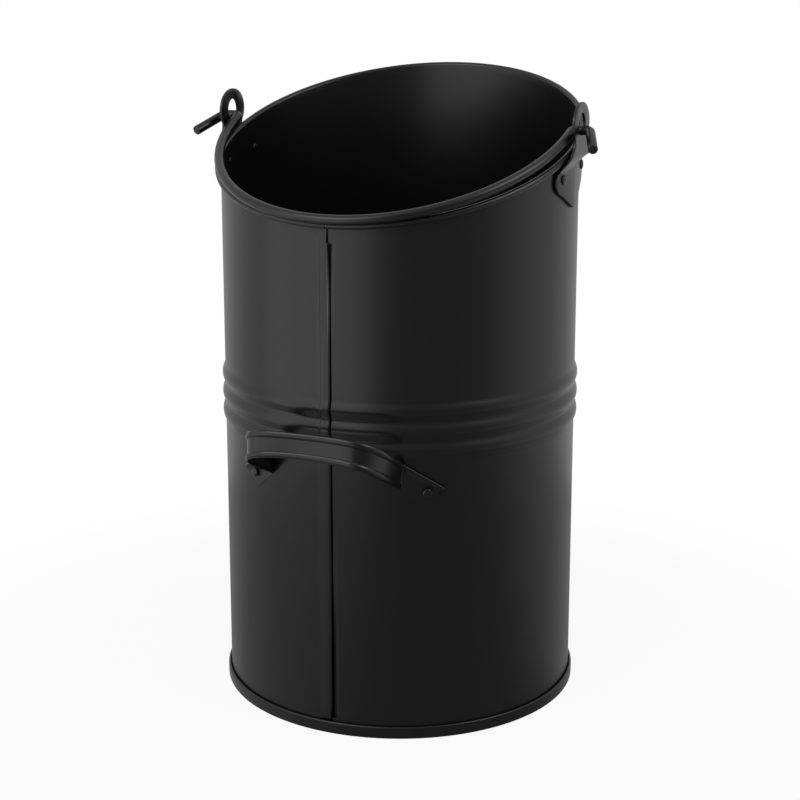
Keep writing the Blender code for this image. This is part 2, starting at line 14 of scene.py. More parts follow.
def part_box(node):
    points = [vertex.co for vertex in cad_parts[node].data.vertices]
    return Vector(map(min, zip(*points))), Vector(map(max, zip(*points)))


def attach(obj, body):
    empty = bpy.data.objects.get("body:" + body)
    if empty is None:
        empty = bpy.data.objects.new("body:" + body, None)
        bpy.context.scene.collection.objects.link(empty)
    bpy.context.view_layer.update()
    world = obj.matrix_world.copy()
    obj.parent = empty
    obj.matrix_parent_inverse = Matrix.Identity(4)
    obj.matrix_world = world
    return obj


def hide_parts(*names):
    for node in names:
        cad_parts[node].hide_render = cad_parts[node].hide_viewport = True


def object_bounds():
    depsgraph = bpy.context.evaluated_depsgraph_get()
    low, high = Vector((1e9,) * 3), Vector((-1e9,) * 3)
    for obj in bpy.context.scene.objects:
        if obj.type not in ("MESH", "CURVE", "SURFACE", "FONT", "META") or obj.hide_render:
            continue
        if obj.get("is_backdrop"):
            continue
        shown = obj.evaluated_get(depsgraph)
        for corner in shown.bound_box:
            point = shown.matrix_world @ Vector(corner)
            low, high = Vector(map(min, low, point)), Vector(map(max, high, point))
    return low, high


bl_info = {
    "name": "Coal Scuttle",
    "version": (1, 0, 0),
    "blender": (4, 5, 0),
    "location": "View3D > Sidebar > Scuttle",
    "description": "Builds the painted pieces of a coal scuttle round its frame",
    "category": "Object",
}

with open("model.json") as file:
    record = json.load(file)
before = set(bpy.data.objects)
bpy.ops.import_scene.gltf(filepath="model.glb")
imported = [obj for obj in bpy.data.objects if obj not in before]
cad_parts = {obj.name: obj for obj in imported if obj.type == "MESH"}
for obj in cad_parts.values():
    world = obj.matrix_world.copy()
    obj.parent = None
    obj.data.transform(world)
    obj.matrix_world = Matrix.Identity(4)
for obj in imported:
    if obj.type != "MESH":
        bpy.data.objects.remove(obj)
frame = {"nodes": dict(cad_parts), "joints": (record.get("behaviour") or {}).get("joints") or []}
FRAME_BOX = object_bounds()
SHELL_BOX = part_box("body_shell")
PAN_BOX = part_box("bottom_pan")
EAR_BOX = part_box("ear_right")
PIVOT = Vector(frame["joints"][0]["pos_m"])

RIGHT_SIDE = math.radians(90)

# How finely each shape is divided
BODY_COLUMNS = 192
FOOT_RAMP_STEPS = 4
RIB_STEPS = 12
SEAM_END_STEPS = 6
ROLL_STEPS = 24
HOOK_STEPS = 8
JOGGLE_STEPS = 4
PAN_CORNER_STEPS = 8
HEM_STEPS = 12
WING_STEPS = 20
EAR_HEAD_STEPS = 24
EAR_FILLET_STEPS = 8
EYE_SIDES = 48
EAR_BEND_CUTS = 12
EAR_CROSS_CUTS = 24
RIVET_DOME_STEPS = 8
RIVET_TAIL_STEPS = 6
RIVET_SIDES = 32
BAIL_SIDES = 32
BAIL_BOW_STEPS = 24
BAIL_BEND_STEPS = 12
BAIL_END_SEGMENTS = 3
FOOT_STEPS = 10
BAR_POINTS = 11
FOLD_STEPS = 12
RIDGE_STEPS = 10
FLOOR_SIDES = 96

# How the pressed forms run: powers, shares, row numbers, and lengths in metres
RIB_FULLNESS = 1.35
EDGE_GUARD = 0.00015
RIVET_RIM_SHARE = 0.3
RIDGE_FULLNESS = 0.7
RIDGE_FADE = (FOOT_STEPS, 24)
GROOVE_FLAT = 0.2
FOOT_RIDGE = 0.65
FOOT_LIFT = 0.0017

# Limits for merging points and for telling faces and edges apart
WELD = 0.000005
SHARP = math.radians(40)
PLATE_RIM = math.radians(60)
PLATE_FLAT = 0.01
LEVEL_FACE = 0.999

# The paint and the bare wire; a noise is its scale and its detail
PAINT_IOR = 1.5
PAINT_CLOUDS = (14, 3)
PAINT_SHADES = (0.9, 1.15)
PAINT_GLOSS_SPREAD = 0.06
SKIN_COARSE = (900, 2)
SKIN_FINE = (3200, 1)
SKIN_FINE_SHARE = 0.3
SKIN_STRENGTH = 0.12
SKIN_DEPTH = 0.00006
STEEL_CLOUDS = (220, 3)
STEEL_SHADE = 0.8
STEEL_ROUGHNESS = 0.35
STEEL_GLOSS_SPREAD = 0.15

# The studio
SENSOR_WIDTH = 36
FLOOR_COLOUR = (0.8, 0.8, 0.8, 1)
FLOOR_ROUGHNESS = 0.9
DARK_EDGE = 0.35

# Each lamp's name, degrees round from the camera and up, distance, size and power
LAMPS = (
    ("left_softbox", -53, 0, 1.5, (2.2, 1.9), 7.3),
    ("left_overhead", -45, 42, 1.5, (0.9, 0.5), 4.5),
    ("right_overhead", 66, 40, 1.5, (0.8, 0.6), 4.5),
)

# A row round the body's sheet: how far it stands out of the wall, its height, the mouth's slope
# where it follows it, its lift square to the edge, how far the lock seam's layers are spread
# there from 0 to 1, and whether the seam is hooked there
Row = namedtuple("Row", "out height slope lift band locked", defaults=(0, 0, 0, False))

# A column up the sheet: its azimuth, and the layer of the lock seam that it lies in
Column = namedtuple("Column", "azimuth level", defaults=(0,))


# Sizes and colours that a user would change
def length(name, description, default):
    return bpy.props.FloatProperty(
        name=name, description=description, default=default, unit="LENGTH", precision=5
    )


def turn(name, description, degrees):
    return bpy.props.FloatProperty(
        name=name, description=description, default=math.radians(degrees), subtype="ANGLE"
    )


def ratio(name, description, default):
    return bpy.props.FloatProperty(name=name, description=description, default=default)


def colour(name, description, default):
    return bpy.props.FloatVectorProperty(
        name=name, description=description, default=default, subtype="COLOR", min=0, max=1
    )


class ScuttleSheet(bpy.types.PropertyGroup):
    thickness: length("Sheet", "Thickness of the body's sheet", 0.0006)
    fold_gap: length("Fold gap", "Air between folded layers", 0.00025)
    seat_gap: length("Seat gap", "Air between pieces that touch", 0.0003)
    wire_radius: length("Rim wire", "Radius of the wire that the mouth is rolled over", 0.0016)
    roll_sweep: turn("Roll", "How far the edge is rolled round its wire", 305)
    front_lip: length("Front lip", "Height of the low lip", 0.374)
    rib_top: length("Ribs' top", "Height at which the upper rib starts", 0.2492)
    rib_pitch: length("Rib pitch", "Height of one rib", 0.0143)
    rib_depth: length("Rib depth", "How far the ribs stand proud", 0.0021)
    rib_count: bpy.props.IntProperty(name="Ribs", description="Number of swaged ribs", default=3)
    lock_offset: length("Lock offset", "Where the upright seam's middle stands", -0.0025)
    lock_width: length("Lock seam", "Width of the folded upright seam", 0.0063)
    lock_step: length("Lock step", "How far the fold reaches past the cut edge", 0.0018)
    lock_joggle: length("Joggle", "Width of the bend beside the lock seam", 0.001)
    lock_ramp: length("Lock ramp", "Height over which the seam rises from the foot", 0.002)
    lock_end: length("Lock end", "Drop from the mouth's wire to the seam's end", 0.0125)
    lock_fade: length("Lock fade", "Drop from the mouth's wire to where the seam is flat", 0.0045)
    butt_gap: length("Butt gap", "Gap between the sheet's two edges in the roll", 0.0012)


class ScuttleEar(bpy.types.PropertyGroup):
    thickness: length("Plate", "Thickness of the ear plate", 0.002)
    head_half_width: length("Head", "Half of the head's width", 0.019)
    head_rise: length("Crown", "Height of the head's crown over the eye's middle", 0.0157)
    neck_half_width: length("Neck", "Half of the neck's width", 0.0152)
    neck_fillet: length("Neck fillet", "Radius where the neck runs into the wings", 0.006)
    tip_drop: length("Tip", "Drop from the mouth's wire to the lower tip", 0.044)
    tip_fillet: length("Tip fillet", "Radius of the lower tip", 0.004)
    wing_radius: length("Wings", "Radius of the wings round their rivets", 0.0105)
    rivet_spread: length("Rivet spread", "Distance of a rivet from the middle", 0.0215)
    rivet_clearance: length("Rivet clearance", "Drop from the plate's bend to the rivets", 0.0037)
    sweep: turn("Sweep", "Slope of the wings' upper edge", 42)
    lean_share: ratio("Lean", "The wings' lean as a share of the mouth's", 0.41)
    joggle: length("Joggle", "Height of the bend that clears the roll", 0.009)
    eye_radius: length("Eye", "Radius of the eye", 0.008)
    edge: length("Edge", "Radius of the plate's worn edges", 0.0003)


class ScuttleBail(bpy.types.PropertyGroup):
    wire_radius: length("Wire", "Radius of the bail's wire", 0.0035)
    stand_off: length("Stand-off", "How far outside the wall the bow runs", 0.006)
    inner_bend: length("Inner bend", "Radius of the bend into the eye", 0.0048)
    elbow: length("Elbow", "Radius of the bend outside the eye", 0.0055)
    hook_reach: length("Hook reach", "How far the hook spreads outwards", 0.010)
    hook_length: length("Hook length", "How far the hook runs forward", 0.029)
    end_round: length("End", "Rounding of the wire's cut ends", 0.0006)


class ScuttleStrap(bpy.types.PropertyGroup):
    thickness: length("Strap", "Thickness of the strap", 0.0012)
    ridge_height: length("Ridge height", "How far the pressed ridges stand up", 0.0013)
    ridge_width: length("Ridge width", "Width of a pressed ridge", 0.0048)
    stand_off: length("Stand-off", "Distance of the bar from the wall", 0.0409)
    bar_width: length("Bar width", "Width of the strap along the bar", 0.0187)
    bar_rise: length("Bar rise", "Height of the bar's top over the folds'", 0.0296)
    top_pull: ratio("Upper pull", "How boldly the strap's upper edge leaves the wall", 1.26)
    bottom_pull: ratio("Lower pull", "How boldly the strap's lower edge leaves the wall", 1.48)
    pull_spread: ratio("Spread", "How far the strap spreads as it leaves the wall", 1.15)
    pull_lift: length("Lift", "How far the strap's shoulders are lifted", 0.0045)
    shoulder_share: ratio("Shoulder", "How square the strap's shoulders are", 0.63)
    fold_width: length("Fold width", "Height of the fold on the wall", 0.0185)
    fold_top_azimuth: turn("Fold top", "Azimuth of the fold's upper end", 22.7)
    fold_bottom_azimuth: turn("Fold bottom", "Azimuth of the fold's lower end", 21.6)
    fold_radius: length("Fold radius", "Radius of the fold on the wall", 0.004)
    foot_top_drop: length("Foot top", "Drop along the foot's upper edge", 0.0185)
    foot_top_azimuth: turn("Foot top", "Azimuth of the foot's upper corner", 35.5)
    foot_bottom_drop: length("Foot bottom", "Drop along the foot's lower edge", 0.0148)
    foot_bottom_azimuth: turn("Foot bottom", "Azimuth of the foot's lower corner", 29.5)
    rivet_share: ratio("Rivet", "The rivet's place along the foot", 0.75)


class ScuttleRivet(bpy.types.PropertyGroup):
    radius: length("Shank", "Radius of the shank", 0.002)
    head_radius: length("Head", "Radius of the domed head", 0.0034)
    head_height: length("Head height", "Height of the domed head", 0.0014)
    tail_radius: length("Tail", "Radius of the tail inside the wall", 0.003)
    tail_height: length("Tail height", "Height of the tail inside the wall", 0.0011)


class ScuttleFinish(bpy.types.PropertyGroup):
    paint: colour("Paint", "Colour of the satin paint", (0.005, 0.005, 0.0052))
    steel: colour("Wire steel", "Colour of the bare wire in the roll", (0.3, 0.3, 0.31))
    roughness: ratio("Roughness", "Roughness of the satin paint", 0.3)


class ScuttleStage(bpy.types.PropertyGroup):
    camera_azimuth: turn("Azimuth", "Camera's place round the scuttle", 21.7)
    camera_pitch: turn("Pitch", "How far the camera looks down", 13.2)
    camera_distance: length("Distance", "Level distance of the camera from the axis", 1.32)
    camera_height: length("Height", "Height of the camera", 0.5753)
    camera_lens: bpy.props.FloatProperty(
        name="Lens", description="Focal length in millimetres", default=80.67, unit="CAMERA"
    )
    camera_shift: ratio("Shift", "Upward shift of the frame", -0.08)
    floor_radius: length("Floor", "Radius of the round floor", 0.5)
    floor_glow: ratio("Floor's white", "How little of the floor's shadow is seen", 0.92)
    floor_pale: ratio("Floor's shine", "How bright the floor is in the paint", 0.38)
    dark_turn: turn("Dark turn", "Where the room is darkest, round from the camera", 20)
    room_pale: ratio("Pale", "How bright the room is round the scuttle", 0.65)
    room_dark: ratio("Dark", "How bright the room is before the scuttle", 0.18)
    ambience: ratio("Ambience", "Strength of the light from all round", 0.3)


# Shared shapes
def settings():
    return bpy.context.scene.scuttle


def outward(azimuth):
    """The level unit vector at an azimuth, which is 0 at the front and grows to the right."""
    return Vector((math.sin(azimuth), -math.cos(azimuth), 0))


def smooth_step(share):
    share = min(max(share, 0), 1)
    return share * share * (3 - 2 * share)


def spread(count):
    """Even shares from 0 to 1, with both ends."""
    return [step / count for step in range(count + 1)]


def filleted(corners, steps):
    """The path through (point, radius) corners, each corner inside it rounded to its radius."""
    path = []
    for index, (point, radius) in enumerate(corners):
        if not radius or index in (0, len(corners) - 1):
            path.append(point)
            continue
        back = (corners[index - 1][0] - point).normalized()
        ahead = (corners[index + 1][0] - point).normalized()
        half = back.angle(ahead) / 2
        centre = point + (back + ahead).normalized() * (radius / math.sin(half))
        start = point + back * (radius / math.tan(half)) - centre
        finish = point + ahead * (radius / math.tan(half)) - centre
        whole = start.angle(finish)
        for share in spread(steps):
            spot = start * math.sin((1 - share) * whole) + finish * math.sin(share * whole)
            path.append(centre + spot / math.sin(whole))
    return path


def lay_sheet(bm, rows, columns, place):
    """A grid laid out by a function of its row and column, seen from outside."""
    across, up = len(columns) - 1, len(rows) - 1
    grid = bmesh.ops.create_grid(bm, x_segments=across, y_segments=up, size=1)
    for vert in grid["verts"]:
        column = columns[round((vert.co.x + 1) / 2 * across)]
        vert.co = place(rows[round((vert.co.y + 1) / 2 * up)], column)


def sweep_wire(bm, path, radius, sides):
    """A round wire along a path, from rings that turn with it, with flat ends."""
    side = Vector((0, 0, 1))
    frames = []
    for index, point in enumerate(path):
        ahead = path[min(index + 1, len(path) - 1)] - path[max(index - 1, 0)]
        ahead.normalize()
        side = (side - ahead * side.dot(ahead)).normalized()
        basis = Matrix((side, ahead.cross(side), ahead)).transposed()
        frames.append(Matrix.Translation(point) @ basis.to_4x4())
    ring = bmesh.ops.create_circle(
        bm, cap_ends=True, radius=radius, segments=sides, matrix=frames[0]
    )
    edges = list({edge for vert in ring["verts"] for edge in vert.link_edges})
    for before, after in zip(frames, frames[1:]):
        made = bmesh.ops.extrude_edge_only(bm, edges=edges)["geom"]
        verts = [item for item in made if isinstance(item, bmesh.types.BMVert)]
        edges = [item for item in made if isinstance(item, bmesh.types.BMEdge)]
        bmesh.ops.transform(bm, matrix=after @ before.inverted(), verts=verts)
    bmesh.ops.contextual_create(bm, geom=edges)
    bmesh.ops.recalc_face_normals(bm, faces=bm.faces)


def spin_profile(bm, profile, sides):
    """Turns (radius, height) points round the Z axis into a closed surface."""
    verts = [bm.verts.new((point.x, 0, point.y)) for point in profile]
    edges = [bm.edges.new(pair) for pair in zip(verts, verts[1:])]
    bmesh.ops.spin(
        bm,
        geom=verts + edges,
        cent=(0, 0, 0),
        axis=(0, 0, 1),
        angle=math.tau,
        steps=sides,
        use_merge=True,
    )
    bmesh.ops.remove_doubles(bm, verts=bm.verts, dist=WELD)
    bmesh.ops.recalc_face_normals(bm, faces=bm.faces)


def bevel_edges(bm, edges, offset, segments=2):
    bmesh.ops.bevel(
        bm,
        geom=edges,
        offset=offset,
        offset_type="OFFSET",
        affect="EDGES",
        segments=segments,
        profile=0.5,
        material=-1,
    )


def piece(name, bm, nodes, body, material):
    """Makes the mesh an object that stands for CAD nodes and rides on their body."""
    mesh = bpy.data.meshes.new(name)
    bm.to_mesh(mesh)
    bm.free()
    mesh.shade_smooth()
    mesh.set_sharp_from_angle(angle=SHARP)
    mesh.materials.append(material)
    obj = bpy.data.objects.new(name, mesh)
    bpy.context.scene.collection.objects.link(obj)
    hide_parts(*nodes)
    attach(obj, body)
    return obj


def thicken(obj, thickness, offset):
    solidify = obj.modifiers.new("sheet", "SOLIDIFY")
    solidify.thickness = thickness
    solidify.offset = offset
    solidify.use_even_offset = True


# The mouth, which the body, the ears and the bail follow
class Mouth:
    """Where the sheet, its roll and the slanted edge run."""

    def __init__(self):
        sheet = settings().sheet
        self.sheet = sheet
        self.layer = sheet.thickness + sheet.fold_gap
        self.fold_reach = self.layer + sheet.thickness / 2
        self.roll = sheet.wire_radius + sheet.fold_gap + sheet.thickness / 2
        self.roll_reach = self.roll + sheet.thickness / 2
        self.roll_centre = SHELL_BOX[1].y - self.roll_reach
        self.wall = self.roll_centre - self.roll
        self.radius = self.wall + sheet.thickness / 2
        back_lip = SHELL_BOX[1].z
        self.height = (sheet.front_lip + back_lip) / 2 - self.roll_reach
        self.slope = (back_lip - sheet.front_lip) / (2 * self.roll_centre)

    def up(self, azimuth):
        """The unit vector square to the mouth's edge and to the radius."""
        along = self.slope * math.sin(azimuth)
        square = Vector((-along * math.cos(azimuth), -along * math.sin(azimuth), 1))
        return square.normalized()

    def point(self, row, column):
        level = self.layer * column.level * row.band
        point = outward(column.azimuth) * (self.wall + row.out + level)
        point.z = row.height - row.slope * self.roll_centre * math.cos(column.azimuth)
        return point + self.up(column.azimuth) * row.lift

    def seam_column(self, along, level):
        return Column((self.sheet.lock_offset + along) / self.radius, level)

    def hook(self, centre, first_level, side):
        """The columns round one hook of the lock seam."""
        for share in spread(HOOK_STEPS):
            angle = math.pi * share
            along = centre + side * self.layer * math.sin(angle)
            yield self.seam_column(along, first_level - side * (1 - math.cos(angle)))


# Body
def wall_rows(mouth):
    """The rows from the foot over the ribs to the end of the roll."""
    sheet = mouth.sheet
    bend = 2 * mouth.layer + sheet.thickness / 2
    foot_height = PAN_BOX[1].z
    rows = [Row(0, bend), Row(0, foot_height)]
    rows += [
        Row(0, foot_height + sheet.lock_ramp * share, band=smooth_step(share))
        for share in spread(FOOT_RAMP_STEPS)[1:]
    ]
    lock_start = foot_height + sheet.lock_ramp + sheet.seat_gap
    rows.append(Row(0, lock_start, band=1, locked=True))
    rib_bottom = sheet.rib_top - sheet.rib_count * sheet.rib_pitch
    for step in range(sheet.rib_count * RIB_STEPS + 1):
        out = sheet.rib_depth * abs(math.sin(math.pi * step / RIB_STEPS)) ** RIB_FULLNESS
        height = rib_bottom + sheet.rib_pitch * step / RIB_STEPS
        rows.append(Row(out, height, band=1, locked=True))
    end = mouth.height - sheet.lock_end
    rows.append(Row(0, end - sheet.seat_gap, mouth.slope, band=1, locked=True))
    fade = sheet.lock_end - sheet.lock_fade
    rows += [
        Row(0, end + fade * share, mouth.slope, band=1 - smooth_step(share))
        for share in spread(SEAM_END_STEPS)
    ]
    for share in spread(ROLL_STEPS):
        angle = math.pi - sheet.roll_sweep * share
        out = mouth.roll * (1 + math.cos(angle))
        rows.append(Row(out, mouth.height, mouth.slope, mouth.roll * math.sin(angle)))
    return rows


def runs_of(rows, locked):
    """The stretches of neighbouring rows that are locked, or that aren't."""
    run = []
    for row in rows:
        if row.locked == locked:
            run.append(row)
        elif run:
            yield run
            run = []
    if run:
        yield run


def lock_columns(mouth):
    """The columns round the body, of each hook of the lock seam, and of the butted edge."""
    sheet = mouth.sheet
    hook_centre = sheet.lock_width / 2 - mouth.fold_reach
    crease = sheet.lock_width / 2 + sheet.fold_gap
    cut_edge = sheet.lock_width / 2 - sheet.lock_step
    column = mouth.seam_column
    joggle = [
        column(-crease - sheet.lock_joggle * (1 - share), smooth_step(share))
        for share in spread(JOGGLE_STEPS)
    ]
    left = [*joggle, column(cut_edge - EDGE_GUARD, 1), column(cut_edge, 1)]
    right_start = column(crease + sheet.lock_joggle, 0)
    left_hook = [left[-1], *mouth.hook(hook_centre, 1, 1)]
    left_hook.append(column(sheet.fold_gap - hook_centre, -1))
    right_hook = [column(hook_centre - sheet.fold_gap, 0)]
    right_hook += reversed(list(mouth.hook(-hook_centre, -2, -1)))
    right_hook += [column(crease, -2), right_start]
    butt_edge = cut_edge + sheet.butt_gap
    butt = [column(butt_edge, 0), column(butt_edge + EDGE_GUARD, 0), right_start]
    first = right_start.azimuth
    last = math.tau + left[0].azimuth
    ring = [Column(first + (last - first) * share) for share in spread(BODY_COLUMNS)]
    ring += [Column(item.azimuth + math.tau, item.level) for item in left[1:]]
    return ring, left_hook, right_hook, butt


class SCUTTLE_OT_body(bpy.types.Operator):
    """Rolls the body's sheet: foot, ribs, lock seam, slanted mouth and wired edge"""

    bl_idname = "scuttle.body"
    bl_label = "Body"

    def execute(self, context):
        mouth = Mouth()
        rows = wall_rows(mouth)
        ring, left_hook, right_hook, butt = lock_columns(mouth)
        bm = bmesh.new()
        lay_sheet(bm, rows, ring, mouth.point)
        for run in runs_of(rows, True):
            lay_sheet(bm, run, left_hook, mouth.point)
            lay_sheet(bm, run, right_hook, mouth.point)
        for run in runs_of(rows, False):
            lay_sheet(bm, run, butt, mouth.point)
        bmesh.ops.remove_doubles(bm, verts=bm.verts, dist=WELD)
        body = piece("scuttle_body", bm, ["body_shell"], "body", paint_finish("body_paint"))
        thicken(body, mouth.sheet.thickness, 0)
        return {"FINISHED"}


class SCUTTLE_OT_rim_wire(bpy.types.Operator):
    """Gives the wire inside the rolled edge its bare steel"""

    bl_idname = "scuttle.rim_wire"
    bl_label = "Rim wire"

    def execute(self, context):
        wire = frame["nodes"]["rim_wire"]
        wire.data.materials.clear()
        wire.data.materials.append(steel_finish("wire_steel"))
        return {"FINISHED"}


# Bottom
class SCUTTLE_OT_bottom(bpy.types.Operator):
    """Turns the bottom pan with its hem folded up over the body's flange"""

    bl_idname = "scuttle.bottom"
    bl_label = "Bottom pan"

    def execute(self, context):
        mouth = Mouth()
        sheet = mouth.sheet
        middle = sheet.thickness / 2
        outer = PAN_BOX[1].y - middle
        inner = mouth.wall + mouth.layer
        hem_radius = (outer - inner) / 2
        hem_height = PAN_BOX[1].z - middle - hem_radius
        profile = [Vector((0, middle))]
        for share in spread(PAN_CORNER_STEPS):
            angle = math.pi / 2 * share
            spot = Vector((outer - hem_radius, middle + hem_radius))
            profile.append(spot + Vector((math.sin(angle), -math.cos(angle))) * hem_radius)
        for share in spread(HEM_STEPS):
            angle = math.pi * share
            spot = Vector((outer - hem_radius, hem_height))
            profile.append(spot + Vector((math.cos(angle), math.sin(angle))) * hem_radius)
        profile.append(Vector((inner, 2 * mouth.layer + middle + sheet.fold_gap)))
        bm = bmesh.new()
        spin_profile(bm, profile, BODY_COLUMNS)
        level = [face for face in bm.faces if abs(face.normal.z) > LEVEL_FACE]
        if level and level[0].normal.z > 0:
            bmesh.ops.reverse_faces(bm, faces=bm.faces)
        pan = piece("scuttle_bottom", bm, ["bottom_pan"], "body", paint_finish("bottom_paint"))
        thicken(pan, sheet.thickness, 0)
        return {"FINISHED"}


# Ears
class EarShape:
    """The outline of the flat ear and the way it bends to the wall and past the roll."""

    def __init__(self):
        self.mouth = Mouth()
        self.ear = settings().ear
        bail = settings().bail
        sheet = settings().sheet
        self.seat = self.mouth.radius + sheet.seat_gap
        self.flat = EAR_BOX[1].x - self.ear.thickness
        self.eye_height = PIVOT.z + self.ear.eye_radius - bail.wire_radius - sheet.seat_gap
        slant = self.mouth.slope * self.ear.neck_half_width / 2
        self.bend_top = self.mouth.height - self.mouth.roll_reach - sheet.seat_gap - slant
        self.rivet_height = self.bend_top - self.ear.joggle - self.ear.rivet_clearance
        self.lean = math.atan(self.mouth.slope) * self.ear.lean_share

    def half_outline(self):
        ear = self.ear
        wing = Vector((ear.rivet_spread, self.rivet_height))
        tip = Vector((0, self.mouth.height - ear.tip_drop))
        reach = wing - tip
        inward = math.asin(ear.wing_radius / reach.length)
        low = math.atan2(reach.y, reach.x) - inward - math.pi / 2
        high = math.pi / 2 - ear.sweep
        half = [(tip.to_3d(), ear.tip_fillet)]
        for share in spread(WING_STEPS):
            angle = low + (high - low) * share
            point = wing + Vector((math.cos(angle), math.sin(angle))) * ear.wing_radius
            half.append((point.to_3d(), 0))
        last = half[-1][0]
        neck = ear.neck_half_width
        neck_low = last.y + (last.x - neck) * math.tan(ear.sweep)
        half.append((Vector((neck, neck_low, 0)), ear.neck_fillet))
        start = -math.acos(neck / ear.head_half_width)
        for share in spread(EAR_HEAD_STEPS):
            angle = start + (math.pi / 2 - start) * share
            rise = self.eye_height + ear.head_rise * math.sin(angle)
            half.append((Vector((ear.head_half_width * math.cos(angle), rise, 0)), 0))
        return half

    def outline(self):
        half = self.half_outline()
        mirrored = [(Vector((-p.x, p.y, 0)), radius) for p, radius in reversed(half[1:-1])]
        ring = [*half, *mirrored]
        return filleted([ring[-1], *ring, ring[0]], EAR_FILLET_STEPS)[1:-1]

    def eye(self):
        turns = [math.tau * share for share in spread(EYE_SIDES)[:-1]]
        radius = self.ear.eye_radius
        return [
            Vector((math.sin(a) * radius, self.eye_height + math.cos(a) * radius, 0))
            for a in turns
        ]

    def bent(self, flat, side):
        """Where a point of the flat ear goes: round the wall below, flat past the roll above."""
        share = smooth_step(1 - (self.bend_top - flat.y) / self.ear.joggle)
        out = flat.z + self.ear.thickness / 2
        low = outward(RIGHT_SIDE + flat.x / self.mouth.radius) * (self.seat + out)
        low.z = flat.y + flat.x * math.tan(self.lean)
        high = Vector((self.flat + out, flat.x, flat.y))
        point = low.lerp(high, share)
        point.x *= side
        return point


def flat_plate(bm, outlines, thickness):
    """A plate of the given outlines, centred on z = 0, from a filled flat curve."""
    curve = bpy.data.curves.new("plate_outline", "CURVE")
    curve.dimensions = "2D"
    curve.fill_mode = "BOTH"
    curve.extrude = thickness / 2
    for outline in outlines:
        spline = curve.splines.new("POLY")
        spline.points.add(len(outline) - 1)
        for target, point in zip(spline.points, outline):
            target.co = (point.x, point.y, 0, 1)
        spline.use_cyclic_u = True
    guide = bpy.data.objects.new("plate_outline", curve)
    bpy.context.scene.collection.objects.link(guide)
    graph = bpy.context.evaluated_depsgraph_get()
    mesh = bpy.data.meshes.new_from_object(guide.evaluated_get(graph))
    bm.from_mesh(mesh)
    bpy.data.objects.remove(guide)
    bpy.data.curves.remove(curve)
    bpy.data.meshes.remove(mesh)
    bmesh.ops.remove_doubles(bm, verts=bm.verts, dist=WELD)
    bmesh.ops.dissolve_limit(bm, angle_limit=PLATE_FLAT, verts=bm.verts, edges=bm.edges)


def slice_plate(bm, spots, normal):
    """Cuts a plate's faces at each spot, so that it can bend there."""
    for spot in spots:
        parts = bm.verts[:] + bm.edges[:] + bm.faces[:]
        bmesh.ops.bisect_plane(bm, geom=parts, plane_co=spot, plane_no=normal)


class SCUTTLE_OT_ears(bpy.types.Operator):
    """Cuts both ears from plate and bends them to the wall and past the rolled edge"""

    bl_idname = "scuttle.ears"
    bl_label = "Ears"

    def execute(self, context):
        shape = EarShape()
        ear = shape.ear
        material = paint_finish("ear_paint")
        for name, side in (("left", -1), ("right", 1)):
            bm = bmesh.new()
            flat_plate(bm, [shape.outline(), shape.eye()], ear.thickness)
            rims = [edge for edge in bm.edges if abs(edge.calc_face_angle(0)) > PLATE_RIM]
            bevel_edges(bm, rims, ear.edge)
            heights = [shape.bend_top - ear.joggle * share for share in spread(EAR_BEND_CUTS)]
            slice_plate(bm, [Vector((0, height, 0)) for height in heights], Vector((0, 1, 0)))
            reach = ear.rivet_spread + ear.wing_radius
            across = [reach * (2 * share - 1) for share in spread(EAR_CROSS_CUTS)]
            slice_plate(bm, [Vector((spot, 0, 0)) for spot in across], Vector((1, 0, 0)))
            bmesh.ops.triangulate(bm, faces=bm.faces)
            for vert in bm.verts:
                vert.co = shape.bent(vert.co, side)
            bmesh.ops.recalc_face_normals(bm, faces=bm.faces)
            piece(f"scuttle_ear_{name}", bm, [f"ear_{name}"], "body", material)
        return {"FINISHED"}


# Rivets
def rivet_profile(rivet, depth):
    """From the dome's crown round the head, down the shank and round the tail inside."""
    rim = RIVET_RIM_SHARE
    profile = []
    for share in spread(RIVET_DOME_STEPS):
        angle = math.pi / 2 * share
        rise = rivet.head_height * (rim + (1 - rim) * math.cos(angle))
        profile.append(Vector((rivet.head_radius * math.sin(angle), rise)))
    profile.append(Vector((rivet.head_radius, 0)))
    profile.append(Vector((rivet.radius, 0)))
    profile.append(Vector((rivet.radius, -depth)))
    profile.append(Vector((rivet.tail_radius, -depth)))
    for share in spread(RIVET_TAIL_STEPS):
        angle = math.pi / 2 * share
        drop = rivet.tail_height * (rim + (1 - rim) * math.sin(angle))
        profile.append(Vector((rivet.tail_radius * math.cos(angle), -depth - drop)))
    return profile


def place_radially(bm, azimuth, height, radius):
    """Turns a shape made round +Z to point outwards, and sets it on the wall."""
    basis = outward(azimuth).to_track_quat("Z", "Y").to_matrix().to_4x4()
    spot = outward(azimuth) * radius + Vector((0, 0, height))
    bmesh.ops.transform(bm, matrix=Matrix.Translation(spot) @ basis, verts=bm.verts)


